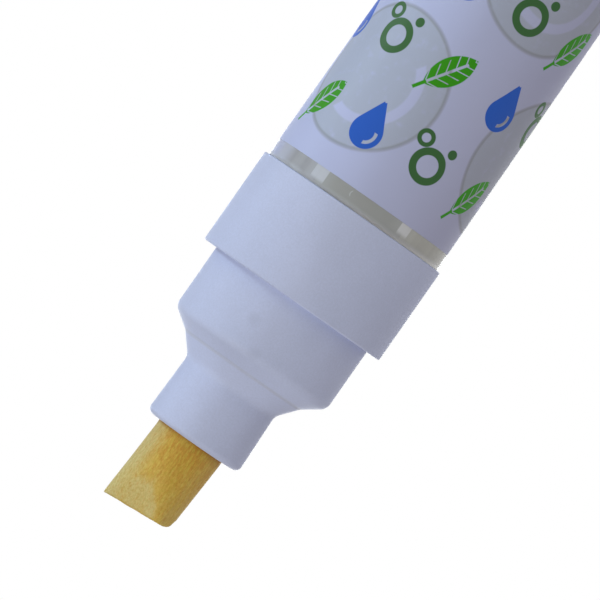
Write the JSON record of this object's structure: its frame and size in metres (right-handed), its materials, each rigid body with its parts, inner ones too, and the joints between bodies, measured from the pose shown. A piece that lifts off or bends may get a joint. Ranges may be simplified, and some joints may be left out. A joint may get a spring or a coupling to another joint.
{
  "type": "valve-action marker",
  "caption": "Thick white valve-action marker for invisible ink, with a fibre chisel nib, stepped nozzle, wide collar, wrapped barrel and a cap posted on its tail.",
  "frame": {"origin": "centre of the cap's flat end, on which the pen stands nib up", "axes": "+Z along the pen from the cap's flat end to the nib tip; -Y is the side that carries the nib's facet; +Y carries the label's seam"},
  "size_m": [0.0224, 0.0224, 0.1711],
  "materials": {
    "white_moulding": "satin cool white polypropylene",
    "nib_fibre": "pressed yellow fibre",
    "barrel_plastic": "milky translucent polypropylene",
    "label_film": "printed satin film",
    "valve_plastic": "natural acetal",
    "liner_plastic": "natural polyethylene",
    "seal_rubber": "black nitrile",
    "spring_steel": "drawn stainless wire",
    "ball_steel": "polished stainless"
  },
  "bodies": {
    "cap": {"cap_shell": "white_moulding", "cap_liner": "liner_plastic"},
    "pen": {"barrel": "barrel_plastic", "label_sleeve": "label_film", "front_section": "white_moulding", "valve_housing": "valve_plastic", "neck_gasket": "seal_rubber", "valve_spring": "spring_steel", "valve_cover": "valve_plastic", "tail_plug": "white_moulding"},
    "nib_rod": {"nib": "nib_fibre"},
    "valve_rod": {"valve_stem": "valve_plastic", "valve_seal": "seal_rubber"},
    "agitator": {"mixing_ball": "ball_steel"}
  },
  "joints": [
    {"name": "cap_pull", "type": "slide", "parent": "cap", "child": "pen", "axis": [0, 0, 1], "range_m": [0, 0.012]},
    {"name": "nib_press", "type": "slide", "parent": "pen", "child": "nib_rod", "axis": [0, 0, -1], "range_m": [0, 0.002], "stiffness_N_per_m": 300, "springref_m": -0.002, "deforming": ["valve_spring"]},
    {"name": "valve_lift", "type": "slide", "parent": "pen", "child": "valve_rod", "axis": [0, 0, -1], "range_m": [0, 0.002]},
    {"name": "ball_roll", "type": "slide", "parent": "pen", "child": "agitator", "axis": [0, 0, 1], "range_m": [0, 0.093]}
  ],
  "couplings": [
    {"joint": "valve_lift", "follows": "nib_press", "ratio": 1}
  ]
}
